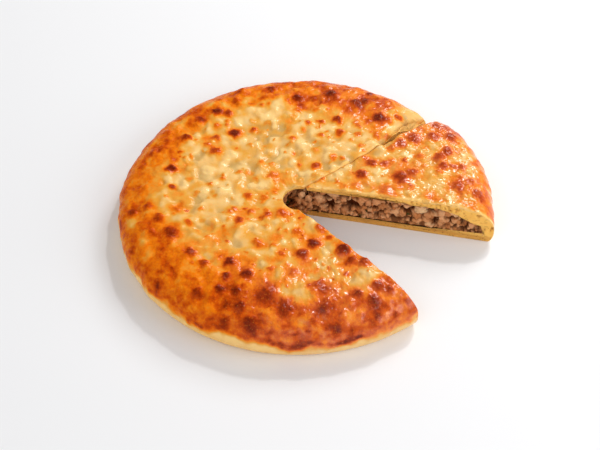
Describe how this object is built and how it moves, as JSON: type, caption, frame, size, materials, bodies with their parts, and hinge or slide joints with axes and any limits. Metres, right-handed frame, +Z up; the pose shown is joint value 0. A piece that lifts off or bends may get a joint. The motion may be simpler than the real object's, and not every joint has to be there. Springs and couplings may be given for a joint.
{
  "type": "meat pie",
  "caption": "Round flat meat pie with a browned, blistered top crust, cut open in a wedge, with a slice drawn part of the way out so that its minced meat filling shows.",
  "frame": {"origin": "on the underside, below the middle of the whole, pie and slice together", "axes": "+Z up out of the top crust, +X towards the rim of the drawn slice"},
  "size_m": [0.3213, 0.2959, 0.0386],
  "materials": {
    "crust": "baked dough, pale cream to golden brown, with dark blisters and a thin buttery gloss",
    "filling": "cooked minced meat, grey-brown to pinkish brown, crumbly and slightly moist"
  },
  "bodies": {
    "root": {"pie_crust": "crust", "pie_filling": "filling", "slice_crust": "crust", "slice_filling": "filling"}
  },
  "joints": []
}
